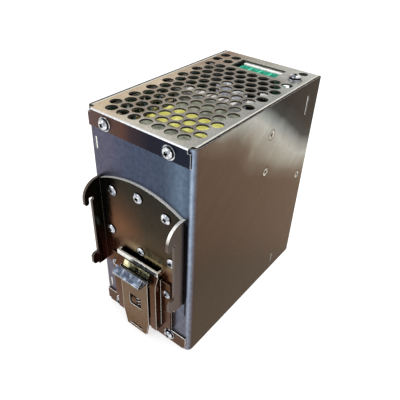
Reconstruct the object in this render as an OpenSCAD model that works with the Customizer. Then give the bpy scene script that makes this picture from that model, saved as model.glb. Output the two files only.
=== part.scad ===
// Power supply in a folded steel case that snaps onto a 35 mm top-hat rail.
// X is the width, the front panel faces -Y, the rail clip is on +Y, +Z is up.
// The modules work from the middle of the case depth; placed() then centres the
// whole outline, clip included, on the origin, with the case bottom at Z = 0.

/* [Case] */
// Width over the two side walls
case_w = 63; // [62:0.5:66]
// Depth from the front panel to the rear wall
case_d = 109; // [108:0.5:112]
// Height over the two vented covers
case_h = 125.2; // [125:0.2:128]
// Thickness of the case sheet
sheet = 1; // [0.8:0.1:1.1]
// Outer radius of the case's upright bends
bend_r = 3; // [2:0.5:4]
// Diameter of one vent hole
vent_d = 6; // [4:0.25:6.2]
// Distance between neighbouring vent holes across the case
vent_pitch_x = 7; // [6.8:0.1:7.2]
// Distance between vent rows along the depth
vent_pitch_y = 6; // [5.9:0.1:6.1]
// Height of the top cover's rear flange
top_flange_h = 8.8; // [8:0.2:9.2]
// Height of the bottom cover's rear flange
bottom_flange_h = 9.8; // [9.4:0.2:10.2]

/* [Rail clip] */
// Width of the top-hat rail that the clip fits
rail_w = 35; // [35:0.1:35.3]
// Distance from the rear wall to the rail's front face
seat_gap = 7.5; // [7:0.1:8]
// Thickness of the clip's steel
clip_t = 1.5; // [1.2:0.1:1.6]
// Width over the clip's two side flanges
clip_w = 55; // [54:0.5:57]
// How far the latch stands out behind the rear wall
clip_reach = 13.7; // [13.7:0.1:15]
// Height of the rail's middle above the case bottom
rail_mid_z = 63.4; // [63:0.1:64]

/* [Terminals] */
// Distance between neighbouring wire clamps
pole_pitch = 6.35; // [6.2:0.05:6.5]
// Number of clamps on the output terminal
output_poles = 4; // [4:1:4]
// Number of clamps on the input terminal
input_poles = 3; // [3:1:3]
// Diameter of a clamp screw's thread
screw_d = 3; // [2.8:0.1:3]

/* [Hidden] */
$fn = 48;
eps = 0.01;
half_w = case_w / 2;
rear_y = case_d / 2;
front_y = -case_d / 2;
inner_x = half_w - sheet;
slip = 0.2;
cover_x = inner_x - slip;
rail_top_z = rail_mid_z + rail_w / 2;
rail_bottom_z = rail_mid_z - rail_w / 2;
plate_y = rear_y + clip_t;
seat_y = rear_y + seat_gap;

// Screws: head and washer sizes of the pan-head screws in the case and the clip.
screw_x = 18.7;
stud_at = [[-6.7, 108.2], [-5.5, 87.2], [-46.8, 65.9]];
top_screw_drop = 5;
bottom_screw_rise = 6.4;
screw_z = [bottom_screw_rise, case_h - top_screw_drop];
cover_screw_r = 1.5;
clip_screw_r = 1.6;
clip_screw_at = [[17.2, 85.6], [-17.2, 85.6], [0, 88.9], [20.4, 60.2], [-20.4, 60.2]];
clip_rivet_at = [[0, 55.8], [18, 38.4], [-18, 38.4]];
ground_at = [-23.2, -40.2];

// Terminals: the Y of each station along a clamp, from the terminal's front face.
terminal_y = front_y + 1.6;
output_axis_z = case_h - 16.4;
input_axis_z = 16.4;
head_y = [0.8, 2.8];
tip_y = 8.5;
cage_y = [7, 13.8];
cage_wall = 1.2;
clamp_travel = 2.6;
contact_y = [8.6, 9.4];
terminal_len = 15.6;
terminal_half_h = 5.8;
funnel_rise = 13.8;

// Internal boards and the Y and Z of what stands on them.
board_x = 25.4;
board_t = 1.6;
output_board_z = case_h - 23.8;
input_board_z = 22.2;
standoff_at = [[-28, 8], [47, 8], [-28, 62], [47, 72]];

module placed() {
    translate([0, -clip_reach / 2, 0]) children();
}

module along_y() {
    rotate([-90, 0, 0]) children();
}

module along_x() {
    rotate([0, 90, 0]) children();
}

// A block given by its lowest and highest corners.
module block(low, high) {
    translate(low) cube(high - low);
}

// A shape drawn with its Y and Z as x and y, drawn out along X about the middle.
module across(width) {
    rotate([90, 0, 90]) linear_extrude(width, center = true) children();
}

// Pan head with a cross recess, seated on Z = 0 and standing up along Z.
module pan_head(r, height, recess = true) {
    difference() {
        union() {
            cylinder(r = r, h = height * 0.55);
            translate([0, 0, height * 0.55]) cylinder(r1 = r, r2 = r * 0.72, h = height * 0.45);
        }
        if (recess)
            for (turn = [0, 90])
                rotate(turn) translate([-r * 0.52, -r * 0.11, height * 0.45])
                    cube([r * 1.04, r * 0.22, height]);
    }
}

module washer(r, hole_r, height) {
    difference() {
        cylinder(r = r, h = height);
        translate([0, 0, -eps]) cylinder(r = hole_r, h = height + 2 * eps);
    }
}

// Case outline seen from above, with round rear corners.
module case_outline(width, y_low, y_high, r) {
    translate([-width / 2, y_low]) square([width, y_high - y_low - r]);
    translate([-width / 2 + r, y_high - r - eps]) square([width - 2 * r, r + eps]);
    for (side = [-1, 1]) translate([side * (width / 2 - r), y_high - r]) circle(r);
}

// Places children at each vent hole: rows of seven and eight, set off by half a pitch.
module vent_field() {
    for (row = [0:13]) {
        count = row % 2 == 0 ? 7 : 8;
        for (i = [0:count - 1])
            translate([(i - (count - 1) / 2) * vent_pitch_x, rear_y - 5.7 - row * vent_pitch_y]) children();
    }
}

// The four vent holes beside the output terminal.
module corner_vents() {
    for (x = [18.5, 26])
        for (y = [-38.2, -46.4]) translate([x, y]) children();
}

// Folded rear and side walls in one sheet.
module chassis() {
    corner_x = half_w - bend_r - 0.2;
    color([0.56, 0.58, 0.64]) difference() {
        linear_extrude(case_h) difference() {
            case_outline(case_w, front_y, rear_y, bend_r);
            case_outline(case_w - 2 * sheet, front_y - 1, rear_y - sheet, bend_r - sheet);
        }
        // The covers pass over the rear wall between the bends.
        for (z = [-eps, case_h - sheet - 2 * slip])
            block([-corner_x, rear_y - bend_r - 0.6, z], [corner_x, rear_y + 1, z + sheet + 2 * slip + eps]);
        for (x = [-screw_x, screw_x], z = screw_z)
            translate([x, rear_y - 2, z]) along_y() cylinder(r = cover_screw_r + 0.05, h = 4);
        for (p = clip_screw_at)
            translate([p[0], rear_y - 2, p[1]]) along_y() cylinder(r = clip_screw_r + 0.05, h = 4);
        for (p = clip_rivet_at)
            translate([p[0], rear_y - 2, p[1]]) along_y() cylinder(r = 1.55, h = 4);
        // Key slots near the upright edge.
        for (z = [12.4, 104.4]) block([26.4, rear_y - 2, z], [27.8, rear_y + 1, z + 6.6]);
        // Slots and stud holes in the side walls.
        for (side = [-1, 1]) {
            block([side * half_w - 2, -43.2, 106.5], [side * half_w + 2, -41.8, 117.5]);
            block([side * half_w - 2, -31.4, 5.5], [side * half_w + 2, -30.2, 12.5]);
            for (p = stud_at)
                translate([side * half_w - 2, p[0], p[1]]) along_x() cylinder(r = 2.25, h = 4);
        }
    }
}

// Threaded studs pressed flush into the side walls.
module chassis_studs() {
    color("silver") for (side = [-1, 1], p = stud_at)
        translate([side * (half_w - 1.1), p[0], p[1]]) rotate([0, side * 90, 0]) difference() {
            translate([0, 0, -0.6]) cylinder(r = 2.2, h = 1.6);
            translate([0, 0, -0.2]) cylinder(r = 0.9, h = 2);
        }
}

// One vented cover as seen from above: flat sheet with a flange folded down at the rear.
module vented_sheet(flange_h, screw_drop) {
    corner_x = half_w - bend_r - 0.4;
    fold_r = 1.4;
    difference() {
        union() {
            block([-cover_x, front_y, case_h - sheet], [cover_x, rear_y - bend_r + 0.8, case_h]);
            block([-corner_x, rear_y - bend_r + 0.7, case_h - sheet], [corner_x, rear_y - 0.4, case_h]);
            translate([0, rear_y - 0.4, case_h - fold_r]) across(2 * corner_x)
                intersection() {
                    difference() {
                        circle(fold_r);
                        circle(fold_r - sheet);
                    }
                    square(fold_r);
                }
            block([-corner_x, rear_y, case_h - fold_r - 0.6], [corner_x, rear_y + sheet, case_h - fold_r]);
            block([-29.7, rear_y, case_h - flange_h], [29.7, rear_y + sheet, case_h - fold_r - 0.6]);
        }
        for (x = [-screw_x, screw_x])
            translate([x, rear_y - 1, case_h - screw_drop]) along_y() cylinder(r = cover_screw_r + 0.05, h = 4);
        translate([0, 0, case_h - 2]) linear_extrude(3) {
            vent_field() circle(vent_d / 2);
        }
    }
}

// Vented top with the output wire opening.
module top_cover() {
    color([0.70, 0.66, 0.60]) difference() {
        vented_sheet(top_flange_h, top_screw_drop);
        block([-14.2, -47.4, case_h - 2], [14.2, -34.4, case_h + 1]);
        translate([0, 0, case_h - 2]) linear_extrude(3) {
            corner_vents() circle(vent_d / 2);
            translate([-23.2, -49.8]) circle(2.6);
            translate(ground_at) circle(1.8);
        }
    }
}

// Vented bottom with the input wire opening.
module bottom_cover() {
    color([0.62, 0.60, 0.56]) difference() {
        translate([0, 0, case_h]) mirror([0, 0, 1]) vented_sheet(bottom_flange_h, bottom_screw_rise);
        block([-11.2, -47.4, -1], [11.2, -34.4, 2]);
        translate([0, 0, -1]) linear_extrude(3) corner_vents() circle(vent_d / 2);
    }
}

// Flat front with the two screw openings, the trimmer hole and the lamp hole.
module front_panel() {
    lap = 4;
    color([0.74, 0.74, 0.73]) difference() {
        union() {
            block([-cover_x, front_y, sheet + slip], [cover_x, front_y + sheet, case_h - sheet - slip]);
            for (side = [-1, 1])
                translate([side * (cover_x - sheet / 2), front_y + sheet + lap / 2, case_h / 2])
                    cube([sheet, lap + eps, case_h - 2 * sheet - 2 * slip], center = true);
        }
        block([-14.2, front_y - 1, output_axis_z - 6.4], [14.2, front_y + 2, case_h - 6]);
        block([-11.2, front_y - 1, 6], [11.2, front_y + 2, input_axis_z + 6.4]);
        translate([-8, front_y - 1, output_board_z - 9.4]) along_y() cylinder(r = 3.6, h = 4);
        translate([8, front_y - 1, output_board_z - 9.4]) along_y() cylinder(r = 2.7, h = 4);
    }
}

// Pan-head screws and washers through the covers' rear flanges.
module cover_screws() {
    color([0.82, 0.83, 0.85]) for (x = [-screw_x, screw_x], z = screw_z)
        translate([x, rear_y + sheet, z]) along_y() {
            washer(4, cover_screw_r + 0.1, 0.6);
            translate([0, 0, 0.6]) pan_head(3.1, 2.2);
            translate([0, 0, -4]) cylinder(r = cover_screw_r, h = 4.6);
        }
}

// Screw and washer on the top cover, with its nut below.
module ground_screw() {
    color([0.82, 0.83, 0.85]) translate([ground_at[0], ground_at[1], case_h]) {
        washer(4.2, 1.7, 0.7);
        translate([0, 0, 0.7]) pan_head(3.1, 2.1);
        translate([0, 0, -4.2]) cylinder(r = 1.6, h = 4.9);
        translate([0, 0, -3.4]) washer(2.9, 1.6, 2.2);
    }
}

// Profile of a clip flange: x is the distance behind the rear wall, y is the height.
module flange_profile() {
    strip = seat_gap;
    hook_in = strip + 1.7;
    hook_out = 11.9;
    hook_top = rail_top_z + 9;
    bump_top = rail_bottom_z - 0.6;
    difference() {
        union() {
            translate([0.2, rail_bottom_z - 9.6]) square([strip - 0.2, rail_w + 9.8]);
            translate([0.2, rail_top_z - 0.1]) square([2.8, 9.1]);
            translate([hook_out - 9, rail_top_z]) intersection() {
                circle(9);
                square(9);
            }
            translate([hook_in, rail_top_z - 2.4]) square([hook_out - hook_in, 2.5]);
            translate([(hook_in + hook_out) / 2, rail_top_z - 2.4]) circle((hook_out - hook_in) / 2);
            // Rounded stop below the rail's lower edge.
            translate([strip - 1, bump_top - 5.2]) square([4.9, 3.8]);
            translate([strip - 1, bump_top - 7.4]) square([2.7, 4]);
            translate([strip + 1.7, bump_top - 5.2]) circle(2.2);
            translate([strip - 1, bump_top - 1.5]) polygon([[0, 0], [4.9, 0], [3.6, 1.5], [0, 1.5]]);
        }
        // Relief at the root of the rail slot.
        translate([strip, rail_top_z - 1.2]) circle(1.2);
        translate([0, rail_bottom_z - 9.7]) square([2.4, 0.6]);
        square([0.2, 200]);
    }
}

// Back plate with its two hooked side flanges and the spring's lower stop.
module clip_bracket() {
    arc_r = 55.4;
    arc_top = 95.8;
    side_z = 88.4;
    low_x = 20.5;
    low_z = 12;
    color([0.58, 0.50, 0.42]) difference() {
        union() {
            translate([0, plate_y, 0]) rotate([90, 0, 0]) linear_extrude(clip_t) {
                translate([-clip_w / 2, 35.8]) square([clip_w, side_z - 35.8]);
                intersection() {
                    translate([0, arc_top - arc_r]) circle(arc_r, $fn = 180);
                    translate([-clip_w / 2, side_z - eps]) square([clip_w, 20]);
                }
                translate([-low_x, low_z]) square([2 * low_x, 36 - low_z]);
            }
            for (side = [-1, 1])
                translate([side * (clip_w - clip_t) / 2, rear_y, 0]) across(clip_t) flange_profile();
            block([-3, plate_y - eps, 13.4], [3, rear_y + 5.8, 14.6]);
        }
        for (p = clip_screw_at)
            translate([p[0], rear_y - 1, p[1]]) along_y() cylinder(r = clip_screw_r + 0.05, h = 4);
        for (p = clip_rivet_at)
            translate([p[0], rear_y - 1, p[1]]) along_y() cylinder(r = 1.55, h = 4);
    }
}

module clip_screws() {
    color([0.84, 0.84, 0.86]) for (p = clip_screw_at)
        translate([p[0], plate_y, p[1]]) along_y() {
            pan_head(3.2, 1.9);
            translate([0, 0, -4.5]) cylinder(r = clip_screw_r, h = 4.6);
        }
}

// Rivets through the clip, the guide's feet and the rear wall.
module clip_rivets() {
    color([0.80, 0.79, 0.78]) for (i = [0:2]) {
        p = clip_rivet_at[i];
        seat = i == 0 ? 0 : 1.2;
        translate([p[0], plate_y + seat, p[1]]) along_y() {
            difference() {
                pan_head(2.5, 1.2, false);
                translate([0, 0, 0.5]) cylinder(r = 1, h = 2);
            }
            translate([0, 0, -seat - 3.6]) cylinder(r = 1.5, h = seat + 3.6);
        }
    }
}

// Hat-section guide riveted to the bracket: two walls, two front lips and a stepped bridge.
module latch_guide() {
    t = 1.2;
    wall_x = 14.2;
    lip_x = 10.3;
    low_z = 10.2;
    top_z = 51.6;
    face = 6.7;
    bridge_z = 44.9;
    foot_x = 20.5;
    foot_z = [12, 46];
    color([0.60, 0.52, 0.44]) translate([0, rear_y, 0]) difference() {
        union() {
            across(2 * wall_x) difference() {
                polygon([[clip_t, low_z], [face, low_z], [face, 43.6], [4.6, 48], [4.6, top_z], [clip_t, top_z]]);
                polygon([[clip_t - 1, low_z - 1], [face - t, low_z - 1], [face - t, 43.2],
                    [4.6 - t, 47.8], [4.6 - t, top_z + 1], [clip_t - 1, top_z + 1]]);
            }
            for (side = [-1, 1]) {
                translate([side * (wall_x - t / 2), 0, 0]) across(t)
                    polygon([[clip_t, low_z], [face, low_z], [face, 43.6], [4.6, 48], [4.6, top_z], [clip_t, top_z]]);
                translate([side * (wall_x + foot_x - t) / 2, clip_t + t / 2, (foot_z[0] + foot_z[1]) / 2])
                    cube([foot_x - wall_x + t, t, foot_z[1] - foot_z[0]], center = true);
            }
        }
        block([-lip_x, face - t - 1, low_z - 1], [lip_x, face + 1, bridge_z]);
        for (p = clip_rivet_at)
            translate([p[0], 0, p[1]]) along_y() cylinder(r = 1.55, h = 4);
    }
}

// Sprung latch: raised face, two wings behind the guide's lips, folded catch and pull tail.
module latch_slider() {
    t = 1.2;
    face_x = 9.3;
    tail_x = 7.2;
    wing_x = 12.4;
    wing_z = [17, 40.5];
    catch_x = 9.1;
    color([0.62, 0.54, 0.46]) translate([0, rear_y, 0]) {
        difference() {
            translate([0, seat_gap, 0]) rotate([90, 0, 0]) linear_extrude(t)
                polygon([[-tail_x, 2], [tail_x, 2], [face_x, 13], [face_x, 43.4], [-face_x, 43.4], [-face_x, 13]]);
            block([-4, seat_gap - 2, 20.8], [4, seat_gap + 1, 28.4]);
            block([-4.6, seat_gap - 2, 3.9], [4.6, seat_gap + 1, 5.3]);
        }
        across(2 * catch_x) polygon([[seat_gap - t, 43.2], [12.5, 43.2], [13.7, 44.5], [13.7, 45.3],
            [10.2, 48.1], [9.4, 47.2], [12.3, 44.9], [12.0, 44.4], [seat_gap - t, 44.4]]);
        for (side = [-1, 1]) {
            translate([side * (face_x - t / 2), (4 + seat_gap - 0.6) / 2, (wing_z[0] + wing_z[1]) / 2])
                cube([t, seat_gap - 4.6, wing_z[1] - wing_z[0]], center = true);
            translate([side * (face_x - t + wing_x) / 2, 4.6, (wing_z[0] + wing_z[1]) / 2])
                cube([wing_x - face_x + t, t, wing_z[1] - wing_z[0]], center = true);
        }
        block([-3, 2.1, 34], [3, seat_gap - 0.5, 35.2]);
    }
}

// Compression spring between the bracket's stop and the latch's tab.
module latch_spring() {
    wire_r = 0.35;
    coil_r = 1.7;
    turns = 8;
    steps = 12;
    low = 15.05;
    high = 33.6;
    sides = 8;
    rings = turns * steps;
    function ring(i) = [for (k = [0:sides - 1])
        let (a = 360 * i / steps, b = 360 * k / sides, r = coil_r + wire_r * cos(b))
        [r * cos(a), r * sin(a), low + (high - low) * i / rings + wire_r * sin(b)]];
    points = [for (i = [0:rings]) each ring(i)];
    walls = [for (i = [0:rings - 1], k = [0:sides - 1])
        [i * sides + k, i * sides + (k + 1) % sides, (i + 1) * sides + (k + 1) % sides, (i + 1) * sides + k]];
    ends = [[for (k = [0:sides - 1]) sides - 1 - k], [for (k = [0:sides - 1]) rings * sides + k]];
    color("gainsboro") translate([0, rear_y + 3.95, 0]) polyhedron(points, concat(ends, walls), 6);
}

module main_board() {
    color([0.10, 0.36, 0.24]) difference() {
        block([board_x, -50, 3], [board_x + board_t, 50.5, 122]);
        for (p = standoff_at) translate([board_x - 1, p[0], p[1]]) along_x() cylinder(r = 1.55, h = 4);
    }
}

// Threaded posts between the board and the side wall, each with its board screw.
module board_standoffs() {
    color("silver") for (p = standoff_at) translate([0, p[0], p[1]]) along_x() {
        translate([0, 0, board_x + board_t]) cylinder(r = 2.6, h = inner_x - board_x - board_t);
        translate([0, 0, board_x - 1.6]) cylinder(r = 2.6, h = 1.6);
        translate([0, 0, board_x - eps]) cylinder(r = 1.5, h = board_t + 2 * eps);
    }
}

module insulation_sheet() {
    color([0.88, 0.86, 0.74]) difference() {
        block([29.2, -48, 3], [29.6, 51.5, 122]);
        for (p = standoff_at) translate([28, p[0], p[1]]) along_x() cylinder(r = 3, h = 4);
    }
}

module output_board() {
    color([0.10, 0.36, 0.24])
        block([-21, front_y + 2.4, output_board_z], [board_x - 0.1, -6, output_board_z + board_t]);
}

module input_board() {
    color([0.10, 0.36, 0.24])
        block([-21, front_y + 2.4, input_board_z], [board_x - 0.1, -27, input_board_z + board_t]);
}

// Ferrite halves: three legs between two end yokes, the windows open to the sides.
module transformer_core() {
    color([0.34, 0.35, 0.33]) difference() {
        block([-19, 2, 78], [15, 43, 116.4]);
        for (z = [87, 101])
            block([-20, 10, z], [16, 35, z + 7.4]);
    }
}

module transformer_winding() {
    color([0.72, 0.44, 0.22]) difference() {
        block([-23, 10.4, 87.4], [19, 34.6, 108]);
        block([-24, 9, 94.2], [20, 36, 101.2]);
    }
    color([0.12, 0.12, 0.13]) {
        block([19.2, 10.4, 84], [board_x, 34.6, 112]);
    }
}

module transformer_tape() {
    color([0.93, 0.88, 0.28]) difference() {
        block([-19.5, 14, 77.5], [15.5, 31.6, 116.9]);
        block([-19.05, 13, 77.95], [15.05, 32.6, 116.45]);
        for (x = [-22, 14]) block([x, 13, 86.8], [x + 8, 32.6, 108.6]);
    }
}

module ring_core(r_out, r_in, length) {
    difference() {
        cylinder(r = r_out, h = length);
        translate([0, 0, -1]) cylinder(r = r_in, h = length + 2);
    }
}

// Turns of wire side by side round a ring core, each a closed loop of its own.
module ring_turns(r_out, r_in, length, wire, count, span) {
    for (i = [0:count - 1]) rotate((i - (count - 1) / 2) * span / count)
        translate([(r_in + r_out) / 2, 0, length / 2]) rotate([90, 0, 0])
            linear_extrude(wire, center = true) difference() {
                square([r_out - r_in + 2 * wire + 0.2, length + 2 * wire + 0.2], center = true);
                square([r_out - r_in + 0.2, length + 0.2], center = true);
            }
}

module boost_choke_core() {
    color([0.30, 0.42, 0.32]) translate([9.4, 37, 24]) along_x() ring_core(13, 7.5, 13);
}

module boost_choke_winding() {
    color([0.72, 0.42, 0.22]) translate([9.4, 37, 24]) along_x() ring_turns(13, 7.5, 13, 1.1, 24, 330);
}

module line_choke_core() {
    color([0.22, 0.23, 0.22]) translate([11.8, 9, 21]) along_x() ring_core(11, 6.4, 10);
}

module line_choke_winding() {
    color([0.76, 0.46, 0.24]) translate([11.8, 9, 21]) along_x()
        for (half = [0, 180]) rotate(half) ring_turns(11, 6.4, 10, 1.1, 10, 140);
}

module output_choke() {
    color([0.80, 0.76, 0.30]) translate([14.8, -20, 82]) along_x() ring_core(10, 5.5, 8);
    color([0.72, 0.42, 0.22]) translate([14.8, -20, 82]) along_x() ring_turns(10, 5.5, 8, 1, 18, 320);
}

// A can with its rolled neck and vented top, standing on Z = 0.
module can(r, length) {
    rotate_extrude() polygon([[0, 0], [r - 0.4, 0], [r, 0.5], [r, 1.6], [r - 0.5, 2.2], [r, 2.8],
        [r, length - 0.8], [r - 0.8, length], [0, length]]);
}

module bulk_capacitors() {
    color([0.14, 0.15, 0.18]) for (y = [11, 35.5])
        translate([board_x, y, 56]) rotate([0, -90, 0]) can(11.5, 42);
}

module output_capacitors() {
    color([0.80, 0.84, 0.88]) for (p = [[7.5, -19.5], [-5.5, -14.5]])
        translate([p[0], p[1], output_board_z + board_t]) can(4.2, 17.4);
    color([0.14, 0.15, 0.18]) for (y = [-42, -31])
        translate([board_x, y, 48]) rotate([0, -90, 0]) can(5, 24);
}

module line_capacitor() {
    color([0.88, 0.86, 0.78]) block([board_x - 14, -24, 28], [board_x, -10, 54]);
}

module film_capacitor() {
    color([0.52, 0.16, 0.12]) block([1, -12.4, output_board_z + board_t], [11, -7.4, output_board_z + board_t + 10]);
}

// Input bridge, clipped to the lower heat-sink plate.
module bridge_rectifier() {
    color([0.16, 0.16, 0.17]) block([-18, -11, 30], [2, -7.2, 47]);
}

// Upright plate behind the transformer with a folded top edge.
module primary_heatsink() {
    color([0.82, 0.83, 0.84]) {
        block([-24, -2, 70], [board_x, 0.6, 119]);
        block([-24, -7, 26], [board_x - 5, -5, 60]);
    }
}

// Black finned block on the side of the output rectifiers.
module secondary_heatsink() {
    color([0.12, 0.12, 0.13]) {
        block([-27.4, -30, 62], [-24.4, -4, 118]);
        for (i = [0:5]) block([-24.5, -29.6 + i * 4.6, 62], [-18.4, -28.2 + i * 4.6, 100.6]);
    }
}

module to_body(width, height, thick) {
    translate([-width / 2, -thick, 0]) cube([width, thick, height]);
}

module power_transistors() {
    color([0.17, 0.17, 0.18]) for (x = [-10, 2, 14])
        translate([x, -2, 76]) to_body(10.2, 16, 4.4);
}

module output_diodes() {
    color([0.17, 0.17, 0.18]) for (y = [-26, -13])
        block([-24.4, y - 5, 104.4], [-20, y + 5, 116.4]);
}

module inrush_thermistor() {
    color([0.16, 0.22, 0.18]) translate([board_x - 9, -20, 62.4]) along_y() cylinder(r = 7.2, h = 4.6);
    color([0.72, 0.72, 0.72]) for (z = [59.8, 65])
        block([board_x - 1.9, -18.1, z - 0.4], [board_x, -17.3, z + 0.4]);
}

module fuse() {
    color([0.86, 0.84, 0.80]) translate([board_x - 4, -44, 58]) cylinder(r = 2.6, h = 20);
    color("silver") for (z = [59, 73]) block([board_x - 7, -47, z], [board_x, -41, z + 4]);
}

module relay() {
    color([0.10, 0.16, 0.34]) block([board_x - 17, -40.5, 64], [board_x, -31.5, 84]);
}

// Small upright board with its controller chips.
module control_board() {
    color([0.10, 0.36, 0.24]) block([0, 46.4, 75.4], [board_x, 48, 112]);
    color([0.14, 0.14, 0.15]) for (z = [78, 92, 102])
        block([6, 44.6, z], [16, 46.4, z + 6]);
}

// Centre of pole i in a terminal of the given number of poles.
function pole_x(i, poles) = (i - (poles - 1) / 2) * pole_pitch;

// Terminal housing with the wire funnels upward: Z = 0 is on the screw axis.
module terminal_housing(poles) {
    half = poles * pole_pitch / 2;
    difference() {
        translate([0, terminal_y, 0]) union() {
            block([-half, 0, -terminal_half_h], [half, terminal_len, terminal_half_h]);
            block([-half, 6.6, 0], [half, terminal_len, funnel_rise]);
        }
        for (i = [0:poles - 1]) translate([pole_x(i, poles), terminal_y, 0]) {
            translate([0, -1, 0]) along_y() cylinder(r = 2.75, h = 4);
            translate([0, 2.9, 0]) along_y() cylinder(r = 1.8, h = 2);
            block([-2.6, 3.9, -3.8], [2.6, 14.4, 3.8]);
            block([-1.25, contact_y[0] - 0.05, -terminal_half_h - 1], [1.25, contact_y[1] + 0.05, 0]);
            // Funnel: a straight throat with a sloped mouth on two sides.
            block([-2.2, 8.6, 3], [2.2, 13.2, funnel_rise + 1]);
            translate([0, 0, funnel_rise]) across(5.2)
                polygon([[7.4, 0.5], [7.4, 0], [8.7, -6], [13.1, -6], [14.6, 0], [14.6, 0.5]]);
        }
    }
}

module at_output() {
    translate([0, 0, output_axis_z]) children();
}

module at_input() {
    translate([0, 0, input_axis_z]) mirror([0, 0, 1]) children();
}

module output_terminal() {
    color([0.10, 0.55, 0.42]) at_output() terminal_housing(output_poles);
}

module input_terminal() {
    color([0.10, 0.55, 0.42]) at_input() terminal_housing(input_poles);
}

// Fixed bars that the wires are pressed against, with their board legs.
module contact_bars(poles) {
    for (i = [0:poles - 1]) translate([pole_x(i, poles), terminal_y, 0])
        block([-1.2, contact_y[0], -5.7], [1.2, contact_y[1], 2.9]);
}

module terminal_contacts() {
    color([0.80, 0.68, 0.42]) {
        at_output() contact_bars(output_poles);
        at_input() contact_bars(input_poles);
    }
}

// Clamp screw, turning about its own axis.
module clamp_screw(i, poles) {
    color([0.80, 0.80, 0.82]) translate([pole_x(i, poles), terminal_y, 0]) {
        translate([0, head_y[1], 0]) rotate([90, 0, 0]) difference() {
            cylinder(r = 2.3, h = head_y[1] - head_y[0]);
            translate([-3, -0.4, 1.1]) cube([6, 0.8, 2]);
        }
        translate([0, head_y[1] - eps, 0]) along_y()
            cylinder(r = screw_d / 2, h = tip_y - head_y[1] + eps);
    }
}

// Square cage that the screw draws forward onto the wire.
module clamp_cage(i, poles) {
    color([0.78, 0.76, 0.70]) translate([pole_x(i, poles), terminal_y, 0]) difference() {
        block([-2.3, cage_y[0], -3.2], [2.3, cage_y[1], 2.6]);
        block([-1.6, cage_y[0] + cage_wall, -4], [1.6, cage_y[1] - cage_wall, 4]);
        translate([0, cage_y[0] - 1, 0]) along_y() cylinder(r = screw_d / 2 + 0.3, h = 3);
    }
}

trim_z = output_board_z - 9.4;

// Square trimmer body hanging under the output board, open to the front.
module trim_pot() {
    color([0.16, 0.30, 0.62]) difference() {
        block([-12.5, front_y + 4, trim_z - 4.8], [-3.5, front_y + 14, output_board_z]);
        translate([-8, front_y + 3, trim_z]) along_y() cylinder(r = 3.1, h = 5);
    }
}

// Slotted trimmer rotor.
module trim_rotor() {
    color([0.93, 0.92, 0.88]) translate([-8, front_y + 7.9, trim_z]) rotate([90, 0, 0]) difference() {
        cylinder(r = 2.8, h = 6.4);
        translate([-2.2, -0.5, 5]) cube([4.4, 1, 3]);
    }
}

// Round status lamp on its holder.
module status_led() {
    color([0.30, 0.85, 0.35]) translate([8, front_y + 7.4, trim_z]) rotate([90, 0, 0]) {
        cylinder(r = 2.5, h = 4.6);
        translate([0, 0, 4.6]) intersection() {
            sphere(2.5);
            cylinder(r = 3, h = 3);
        }
    }
    color([0.12, 0.12, 0.13]) block([5, front_y + 7.4, trim_z - 3], [11, front_y + 13, output_board_z]);
}

placed() chassis();
placed() top_cover();
placed() bottom_cover();
placed() front_panel();
placed() cover_screws();
placed() ground_screw();
placed() chassis_studs();
placed() clip_bracket();
placed() clip_screws();
placed() clip_rivets();
placed() latch_guide();
placed() latch_slider();
placed() latch_spring();
placed() main_board();
placed() board_standoffs();
placed() insulation_sheet();
placed() output_board();
placed() input_board();
placed() transformer_core();
placed() transformer_winding();
placed() transformer_tape();
placed() boost_choke_core();
placed() boost_choke_winding();
placed() line_choke_core();
placed() line_choke_winding();
placed() output_choke();
placed() bulk_capacitors();
placed() output_capacitors();
placed() line_capacitor();
placed() film_capacitor();
placed() bridge_rectifier();
placed() primary_heatsink();
placed() secondary_heatsink();
placed() power_transistors();
placed() output_diodes();
placed() inrush_thermistor();
placed() fuse();
placed() relay();
placed() control_board();
placed() output_terminal();
placed() input_terminal();
placed() terminal_contacts();
for (i = [0:output_poles - 1]) {
    placed() at_output() clamp_screw(i, output_poles);
    placed() at_output() clamp_cage(i, output_poles);
}
for (i = [0:input_poles - 1]) {
    placed() at_input() clamp_screw(i, input_poles);
    placed() at_input() clamp_cage(i, input_poles);
}
placed() trim_pot();
placed() trim_rotor();
placed() status_led();
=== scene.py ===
import math

import bmesh
import bpy
from mathutils import Matrix, Quaternion, Vector


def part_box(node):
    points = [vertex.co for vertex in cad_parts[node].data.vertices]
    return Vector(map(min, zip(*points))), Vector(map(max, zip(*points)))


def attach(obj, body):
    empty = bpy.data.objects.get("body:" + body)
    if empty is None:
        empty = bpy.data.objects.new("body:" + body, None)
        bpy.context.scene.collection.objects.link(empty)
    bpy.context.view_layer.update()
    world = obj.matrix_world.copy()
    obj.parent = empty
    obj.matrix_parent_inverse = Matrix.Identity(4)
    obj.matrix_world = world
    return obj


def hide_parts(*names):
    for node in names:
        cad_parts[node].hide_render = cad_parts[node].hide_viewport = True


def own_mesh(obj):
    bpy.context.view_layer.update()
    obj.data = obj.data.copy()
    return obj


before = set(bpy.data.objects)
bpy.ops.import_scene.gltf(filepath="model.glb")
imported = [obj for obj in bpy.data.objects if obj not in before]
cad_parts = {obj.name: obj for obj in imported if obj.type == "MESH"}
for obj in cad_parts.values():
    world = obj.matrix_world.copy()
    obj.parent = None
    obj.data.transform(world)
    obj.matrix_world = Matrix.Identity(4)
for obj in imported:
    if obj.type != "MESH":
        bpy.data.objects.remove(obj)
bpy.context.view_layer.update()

# ---------------------------------------------------------------- camera
# Looks down on the rear, the top and the left side of the case from a quarter
# of a metre away, as a hand-held camera would, tipped a little to one side.
MM = 0.001
case_low, case_high = (Vector(corner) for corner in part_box("chassis"))
case_middle = (case_low + case_high) / 2
aim = case_middle + Vector((3.17, 3.45, -4.82)) * MM
bearing, climb, tip = math.radians(126.4), math.radians(35.86), math.radians(2.63)
distance = 0.26
away = Vector((math.cos(bearing) * math.cos(climb), math.sin(bearing) * math.cos(climb), math.sin(climb)))
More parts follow.
